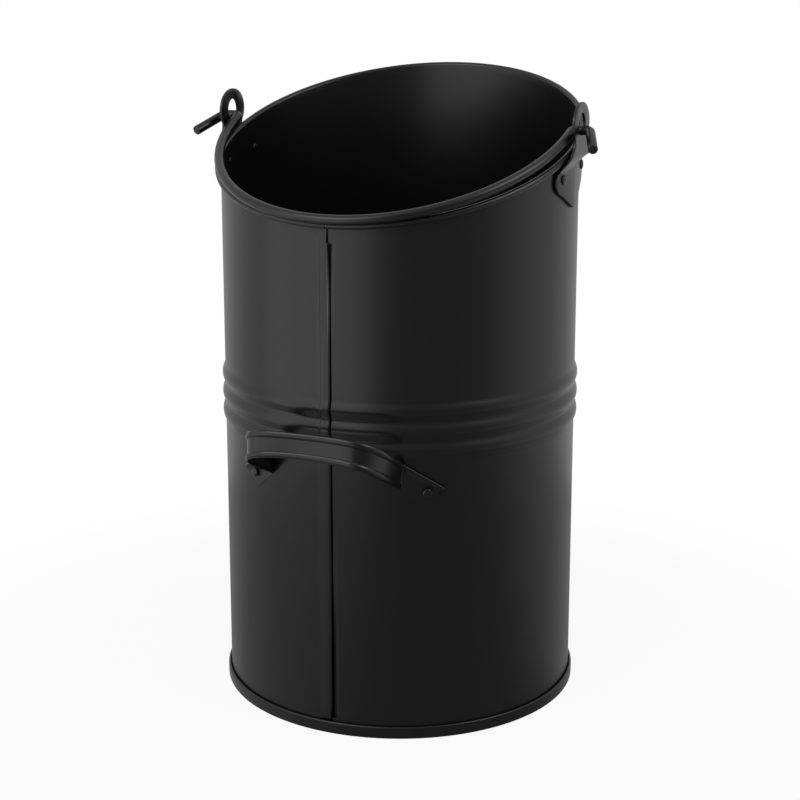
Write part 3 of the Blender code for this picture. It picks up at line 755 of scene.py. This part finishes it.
class SCUTTLE_OT_rivets(bpy.types.Operator):
    """Sets the rivets of the ears and of the tilt handle"""

    bl_idname = "scuttle.rivets"
    bl_label = "Rivets"

    def set_rivet(self, name, azimuth, height, plate, material):
        mouth = Mouth()
        rivet = settings().rivet
        head_seat = plate + mouth.sheet.seat_gap / 2
        tail_seat = mouth.wall - mouth.sheet.thickness / 2 - mouth.sheet.seat_gap / 2
        bm = bmesh.new()
        spin_profile(bm, rivet_profile(rivet, head_seat - tail_seat), RIVET_SIDES)
        place_radially(bm, azimuth, height, head_seat)
        piece(f"scuttle_{name}", bm, [name], "body", material)

    def execute(self, context):
        shape = EarShape()
        strap = StrapShape()
        material = paint_finish("rivet_paint")
        ear_turn = shape.ear.rivet_spread / shape.mouth.radius
        ear_plate = shape.seat + shape.ear.thickness
        strap_plate = shape.seat + strap.strap.thickness
        for side_name, side in (("left", -1), ("right", 1)):
            for end_name, end in (("front", -1), ("rear", 1)):
                name = f"ear_rivet_{side_name}_{end_name}"
                azimuth = side * (RIGHT_SIDE + end * ear_turn)
                lean = end * shape.ear.rivet_spread * math.tan(shape.lean)
                self.set_rivet(name, azimuth, shape.rivet_height + lean, ear_plate, material)
            azimuth, height = strap.rivet_place()
            name = f"handle_rivet_{side_name}"
            self.set_rivet(name, side * azimuth, height, strap_plate, material)
        return {"FINISHED"}


# Bail
class SCUTTLE_OT_bail(bpy.types.Operator):
    """Bends the bail from one wire: bow, eyes' crossings and hooked ends"""

    bl_idname = "scuttle.bail"
    bl_label = "Bail"

    def slope(self, mouth, bail, bow):
        contact = bail.wire_radius + mouth.roll_reach + mouth.sheet.seat_gap
        rise = math.sqrt(contact**2 - (bow - mouth.roll_centre) ** 2)
        front = mouth.height - mouth.slope * mouth.roll_centre + rise
        return math.atan2(PIVOT.z - front, bow)

    def half_path(self, mouth, bail, bow, slope):
        shape = EarShape()
        gap = mouth.sheet.seat_gap
        leg_x = shape.flat - gap - bail.inner_bend
        elbow_x = shape.flat + shape.ear.thickness + gap + bail.elbow
        stretch = 1 / math.cos(slope)
        corners = []
        for share in spread(BAIL_BOW_STEPS)[:-1]:
            azimuth = RIGHT_SIDE * share
            across, ahead = leg_x * math.sin(azimuth), bow * math.cos(azimuth) * stretch
            corners.append((Vector((across, -ahead, 0)), 0))
        corners.append((Vector((leg_x, 0, 0)), bail.inner_bend))
        corners.append((Vector((elbow_x, 0, 0)), bail.elbow))
        corners.append((Vector((elbow_x + bail.hook_reach, -bail.hook_length, 0)), 0))
        return filleted(corners, BAIL_BEND_STEPS)

    def execute(self, context):
        mouth = Mouth()
        bail = settings().bail
        bow = mouth.radius + bail.stand_off
        slope = self.slope(mouth, bail, bow)
        half = self.half_path(mouth, bail, bow, slope)
        path = [Vector((-point.x, point.y, 0)) for point in reversed(half[1:])] + half
        bm = bmesh.new()
        sweep_wire(bm, path, bail.wire_radius, BAIL_SIDES)
        ends = [face for face in bm.faces if len(face.verts) > 4]
        rims = [edge for face in ends for edge in face.edges]
        bevel_edges(bm, rims, bail.end_round, BAIL_END_SEGMENTS)
        lie = Matrix.Translation(PIVOT) @ Matrix.Rotation(slope, 4, "X")
        bmesh.ops.transform(bm, matrix=lie, verts=bm.verts)
        piece("scuttle_bail", bm, ["bail"], "bail", paint_finish("bail_paint"))
        return {"FINISHED"}


# Tilt handle
class StrapShape:
    """The two edges of the strap's back face, and where its rivets go."""

    def __init__(self):
        self.strap = settings().strap
        self.mouth = Mouth()
        sheet = self.mouth.sheet
        strap = self.strap
        rib_bottom = sheet.rib_top - sheet.rib_count * sheet.rib_pitch
        self.fold_top = rib_bottom - sheet.seat_gap
        self.fold_bottom = self.fold_top - strap.fold_width
        self.foot_top = self.fold_top - strap.foot_top_drop
        self.foot_bottom = self.fold_bottom - strap.foot_bottom_drop
        self.bar_top = self.fold_top + strap.bar_rise

    def on_wall(self, azimuth, height):
        seat = self.mouth.radius + self.mouth.sheet.seat_gap
        return outward(azimuth) * seat + Vector((0, 0, height))

    def clear_of_wall(self, point):
        seat = self.on_wall(math.atan2(point.x, -point.y), point.z)
        return seat if point.xy.length < seat.xy.length else point

    def edge(self, bar_height, pull_share, fold_height, fold_azimuth, foot_height, foot_azimuth):
        """One edge, from the right foot's end to the middle of the bar."""
        strap = self.strap
        corners = []
        for share in spread(FOOT_STEPS)[:-1]:
            azimuth = foot_azimuth + (fold_azimuth - foot_azimuth) * share
            height = foot_height + (fold_height - foot_height) * share
            corners.append((self.on_wall(azimuth, height), 0))
        fold = self.on_wall(fold_azimuth, fold_height)
        corners.append((fold, strap.fold_radius))
        middle = Vector((0, -self.mouth.radius - strap.stand_off, bar_height))
        reach = (middle.y - fold.y) * pull_share
        lifted = bar_height + strap.pull_lift
        pull = Vector((fold.x * strap.pull_spread, fold.y + reach, lifted))
        shoulder = Vector((fold.x * strap.shoulder_share, middle.y, bar_height))
        bow = interpolate_bezier(fold, pull, shoulder, middle, BAR_POINTS)
        corners += [(point, 0) for point in bow[1:]]
        return filleted(corners, FOLD_STEPS)

    def edges(self):
        strap = self.strap
        high = self.edge(
            self.bar_top,
            strap.top_pull,
            self.fold_top,
            strap.fold_top_azimuth,
            self.foot_top,
            strap.foot_top_azimuth,
        )
        low = self.edge(
            self.bar_top - strap.bar_width,
            strap.bottom_pull,
            self.fold_bottom,
            strap.fold_bottom_azimuth,
            self.foot_bottom,
            strap.foot_bottom_azimuth,
        )
        return high, low

    def columns(self):
        """Places across the strap: (share of the width, share of the ridge's height)."""
        width = self.strap.ridge_width / self.strap.bar_width
        ridge = [
            (width * share, math.sin(math.pi * share) ** RIDGE_FULLNESS)
            for share in spread(RIDGE_STEPS)
        ]
        groove = [(0.5 - GROOVE_FLAT, 0), (0.5, 0), (0.5 + GROOVE_FLAT, 0)]
        return [*ridge, *groove, *[(1 - share, up) for share, up in reversed(ridge)]]

    def pressed_rows(self):
        """Rows of points across the back face, from the right foot's end to the middle.

        The ridges fade out along the feet, where the upper edge lifts off the wall.
        """
        high, low = self.edges()
        columns = self.columns()
        fade_start, fade_end = RIDGE_FADE
        rows = []
        for index, (top, bottom) in enumerate(zip(high, low)):
            before = high[max(index - 1, 0)]
            after = high[min(index + 1, len(high) - 1)]
            normal = (top - bottom).cross(after - before).normalized()
            on_bar = smooth_step((index - fade_start) / (fade_end - fade_start))
            row = []
            for share, up in columns:
                upper = (1 - on_bar) * smooth_step((share - 0.5) / 0.5)
                ridge = self.strap.ridge_height * up * (on_bar + upper * FOOT_RIDGE)
                spot = self.clear_of_wall(bottom.lerp(top, share))
                row.append(spot + normal * (ridge + upper * FOOT_LIFT))
            rows.append(row)
        return rows

    def rivet_place(self):
        strap = self.strap
        fold_azimuth = strap.fold_top_azimuth + strap.fold_bottom_azimuth
        foot_azimuth = strap.foot_top_azimuth + strap.foot_bottom_azimuth
        fold = Vector((fold_azimuth, self.fold_top + self.fold_bottom))
        foot = Vector((foot_azimuth, self.foot_top + self.foot_bottom))
        return fold.lerp(foot, strap.rivet_share) / 2


class SCUTTLE_OT_tilt_handle(bpy.types.Operator):
    """Presses the tilt handle's ridged strap and folds its feet on to the wall"""

    bl_idname = "scuttle.tilt_handle"
    bl_label = "Tilt handle"

    def execute(self, context):
        shape = StrapShape()
        half = shape.pressed_rows()
        whole = half + [[Vector((-p.x, p.y, p.z)) for p in row] for row in reversed(half[:-1])]
        bm = bmesh.new()
        lay_sheet(bm, whole, range(len(half[0])), lambda row, column: row[column])
        bmesh.ops.reverse_faces(bm, faces=bm.faces)
        material = paint_finish("handle_paint")
        handle = piece("scuttle_tilt_handle", bm, ["tilt_handle"], "body", material)
        thicken(handle, shape.strap.thickness, 1)
        return {"FINISHED"}


# Finishes
class Link:
    """A shader socket that takes part in sums."""

    def __init__(self, shading, socket):
        self.shading = shading
        self.socket = socket

    def __add__(self, other):
        return self.shading.maths("ADD", self, other)

    def __sub__(self, other):
        return self.shading.maths("SUBTRACT", self, other)

    def __rsub__(self, other):
        return self.shading.maths("SUBTRACT", other, self)

    def __mul__(self, other):
        return self.shading.maths("MULTIPLY", self, other)

    __radd__ = __add__
    __rmul__ = __mul__


class Shading:
    """A node tree under construction."""

    def __init__(self, tree):
        self.tree = tree

    def feed(self, node, socket, value):
        if isinstance(value, Link):
            self.tree.links.new(value.socket, node.inputs[socket])
        else:
            node.inputs[socket].default_value = value

    def node(self, kind, choices, sockets, output=0):
        """Adds a node with its choices and inputs, and gives one of its outputs."""
        node = self.tree.nodes.new(kind)
        for name, value in choices.items():
            setattr(node, name, value)
        for name, value in sockets.items():
            self.feed(node, name, value)
        return Link(self, node.outputs[output])

    def maths(self, operation, first, second):
        return self.node("ShaderNodeMath", {"operation": operation}, {0: first, 1: second})

    def place(self):
        return self.node("ShaderNodeTexCoord", {}, {}, "Object")

    def noise(self, scale, detail):
        sockets = {"Vector": self.place(), "Scale": scale, "Detail": detail}
        return self.node("ShaderNodeTexNoise", {}, sockets, "Fac")

    def between(self, low, high, share):
        """A colour between two, through the Mix node's colour sockets A, B and Result."""
        sockets = {"Factor": share, 6: (*low, 1), 7: (*high, 1)}
        return self.node("ShaderNodeMix", {"data_type": "RGBA"}, sockets, 2)

    def bump(self, height, strength, distance):
        sockets = {"Strength": strength, "Distance": distance, "Height": height}
        return self.node("ShaderNodeBump", {}, sockets, "Normal")

    def ray(self, kind):
        return self.node("ShaderNodeLightPath", {}, {}, f"Is {kind} Ray")

    def ramp(self, value, ends, results):
        sockets = {
            "Value": value,
            "From Min": ends[0],
            "From Max": ends[1],
            "To Min": results[0],
            "To Max": results[1],
        }
        return self.node("ShaderNodeMapRange", {"interpolation_type": "SMOOTHSTEP"}, sockets)

    def room(self, direction, stage, pale):
        """How bright polished metal sees the room: pale all round, dark before the scuttle."""
        front = outward(stage.camera_azimuth + stage.dark_turn)
        heading = self.node("ShaderNodeVectorMath", {"operation": "NORMALIZE"}, {0: direction})
        sockets = {0: heading, 1: front}
        toward = self.node("ShaderNodeVectorMath", {"operation": "DOT_PRODUCT"}, sockets, "Value")
        return self.ramp(toward, (DARK_EDGE, 1), (pale, stage.room_dark))


class Finish(Shading):
    """A material under construction."""

    def __init__(self, name):
        self.material = bpy.data.materials.new(name)
        self.material.use_nodes = True
        super().__init__(self.material.node_tree)
        self.shader = self.tree.nodes["Principled BSDF"]

    def set(self, **sockets):
        for name, value in sockets.items():
            self.feed(self.shader, name.replace("_", " "), value)


def paint_finish(name):
    """Satin paint: an even black with a fine orange-peel skin and faint clouds of gloss."""
    look = settings().finish
    finish = Finish(name)
    clouds = finish.noise(*PAINT_CLOUDS)
    fine = finish.noise(*SKIN_FINE) * SKIN_FINE_SHARE
    skin = finish.noise(*SKIN_COARSE) * (1 - SKIN_FINE_SHARE) + fine
    dark, pale = ([value * shade for value in look.paint] for shade in PAINT_SHADES)
    finish.set(Base_Color=finish.between(dark, pale, clouds), IOR=PAINT_IOR)
    finish.set(Roughness=look.roughness + (clouds - 0.5) * PAINT_GLOSS_SPREAD)
    finish.set(Normal=finish.bump(skin, SKIN_STRENGTH, SKIN_DEPTH))
    return finish.material


def steel_finish(name):
    """Bare drawn wire with faint changes of gloss."""
    look = settings().finish
    finish = Finish(name)
    clouds = finish.noise(*STEEL_CLOUDS)
    dull = [value * STEEL_SHADE for value in look.steel]
    finish.set(Base_Color=finish.between(dull, look.steel, clouds), Metallic=1)
    finish.set(Roughness=STEEL_ROUGHNESS + clouds * STEEL_GLOSS_SPREAD)
    return finish.material


# Stage
def add_lamp(name, azimuth, pitch, distance, size, power, target):
    lamp = bpy.data.lights.new(name, "AREA")
    lamp.shape = "RECTANGLE"
    lamp.size, lamp.size_y = size
    lamp.energy = power
    obj = bpy.data.objects.new(name, lamp)
    bpy.context.scene.collection.objects.link(obj)
    level = outward(azimuth) * math.cos(pitch) + Vector((0, 0, math.sin(pitch)))
    obj.location = target + level * distance
    obj.rotation_euler = (-level).to_track_quat("-Z", "Y").to_euler()


class SCUTTLE_OT_stage(bpy.types.Operator):
    """Sets the pale floor, the soft lamps, the white surroundings and the camera"""

    bl_idname = "scuttle.stage"
    bl_label = "Stage"

    def make_floor(self, stage):
        bm = bmesh.new()
        radius = stage.floor_radius
        bmesh.ops.create_circle(bm, cap_ends=True, radius=radius, segments=FLOOR_SIDES)
        mesh = bpy.data.meshes.new("floor")
        bm.to_mesh(mesh)
        bm.free()
        finish = Finish("floor_white")
        finish.set(Base_Color=FLOOR_COLOUR, Roughness=FLOOR_ROUGHNESS)
        place = finish.place()
        away = finish.node("ShaderNodeVectorMath", {"operation": "LENGTH"}, {0: place}, "Value")
        white = finish.ramp(away, (radius / 2, radius), (stage.floor_glow, 1))
        direct = finish.maths("MAXIMUM", finish.ray("Camera"), finish.ray("Transmission"))
        glossy = finish.ray("Glossy")
        glow = direct + glossy * finish.room(place, stage, stage.floor_pale)
        light = finish.node("ShaderNodeEmission", {}, {"Color": glow, "Strength": 1})
        matt = Link(finish, finish.shader.outputs[0])
        sockets = {0: finish.maths("MAXIMUM", direct * white, glossy), 1: matt, 2: light}
        mixed = finish.node("ShaderNodeMixShader", {}, sockets)
        finish.feed(finish.tree.nodes["Material Output"], "Surface", mixed)
        mesh.materials.append(finish.material)
        floor = bpy.data.objects.new("floor", mesh)
        bpy.context.scene.collection.objects.link(floor)
        floor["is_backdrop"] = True

    def make_world(self, stage):
        world = bpy.data.worlds.new("surroundings")
        world.use_nodes = True
        bpy.context.scene.world = world
        shading = Shading(world.node_tree)
        direction = shading.node("ShaderNodeTexCoord", {}, {}, "Generated")
        direct = shading.maths("MAXIMUM", shading.ray("Camera"), shading.ray("Transmission"))
        seen = direct + shading.ray("Glossy") * shading.room(direction, stage, stage.room_pale)
        glow = seen + shading.ray("Diffuse") * stage.ambience
        background = world.node_tree.nodes["Background"]
        shading.feed(background, "Color", glow)
        shading.feed(background, "Strength", 1)

    def make_camera(self, stage):
        data = bpy.data.cameras.new("camera")
        data.lens = stage.camera_lens
        data.sensor_width = SENSOR_WIDTH
        data.shift_y = stage.camera_shift
        camera = bpy.data.objects.new("camera", data)
        bpy.context.scene.collection.objects.link(camera)
        back = outward(stage.camera_azimuth)
        camera.location = back * stage.camera_distance + Vector((0, 0, stage.camera_height))
        camera.rotation_euler = (math.pi / 2 - stage.camera_pitch, 0, stage.camera_azimuth)
        bpy.context.scene.camera = camera

    def execute(self, context):
        stage = settings().stage
        self.make_floor(stage)
        self.make_world(stage)
        self.make_camera(stage)
        middle = (FRAME_BOX[0] + FRAME_BOX[1]) / 2
        for name, turned, pitch, distance, size, power in LAMPS:
            azimuth = stage.camera_azimuth + math.radians(turned)
            add_lamp(name, azimuth, math.radians(pitch), distance, size, power, middle)
        context.scene.view_settings.view_transform = "Standard"
        return {"FINISHED"}


# Panel and registration
class ScuttleSettings(bpy.types.PropertyGroup):
    sheet: bpy.props.PointerProperty(type=ScuttleSheet)
    ear: bpy.props.PointerProperty(type=ScuttleEar)
    bail: bpy.props.PointerProperty(type=ScuttleBail)
    strap: bpy.props.PointerProperty(type=ScuttleStrap)
    rivet: bpy.props.PointerProperty(type=ScuttleRivet)
    finish: bpy.props.PointerProperty(type=ScuttleFinish)
    stage: bpy.props.PointerProperty(type=ScuttleStage)


OPERATORS = (
    SCUTTLE_OT_stage,
    SCUTTLE_OT_body,
    SCUTTLE_OT_rim_wire,
    SCUTTLE_OT_bottom,
    SCUTTLE_OT_ears,
    SCUTTLE_OT_rivets,
    SCUTTLE_OT_bail,
    SCUTTLE_OT_tilt_handle,
)


class SCUTTLE_PT_panel(bpy.types.Panel):
    """Lists the scuttle's pieces"""

    bl_label = "Coal scuttle"
    bl_idname = "SCUTTLE_PT_panel"
    bl_space_type = "VIEW_3D"
    bl_region_type = "UI"
    bl_category = "Scuttle"

    def draw(self, context):
        for operator in OPERATORS:
            self.layout.operator(operator.bl_idname)


CLASSES = (
    ScuttleSheet,
    ScuttleEar,
    ScuttleBail,
    ScuttleStrap,
    ScuttleRivet,
    ScuttleFinish,
    ScuttleStage,
    ScuttleSettings,
    *OPERATORS,
    SCUTTLE_PT_panel,
)


def register():
    for item in CLASSES:
        bpy.utils.register_class(item)
    bpy.types.Scene.scuttle = bpy.props.PointerProperty(type=ScuttleSettings)


def unregister():
    del bpy.types.Scene.scuttle
    for item in reversed(CLASSES):
        bpy.utils.unregister_class(item)


def main():
    register()
    bpy.ops.scuttle.stage()
    bpy.ops.scuttle.body()
    bpy.ops.scuttle.rim_wire()
    bpy.ops.scuttle.bottom()
    bpy.ops.scuttle.ears()
    bpy.ops.scuttle.rivets()
    bpy.ops.scuttle.bail()
    bpy.ops.scuttle.tilt_handle()
    boxes = {"cad": FRAME_BOX, "visual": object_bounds()}
    {name: [list(corner) for corner in box] for name, box in boxes.items()}


if __name__ == "__main__":
    main()
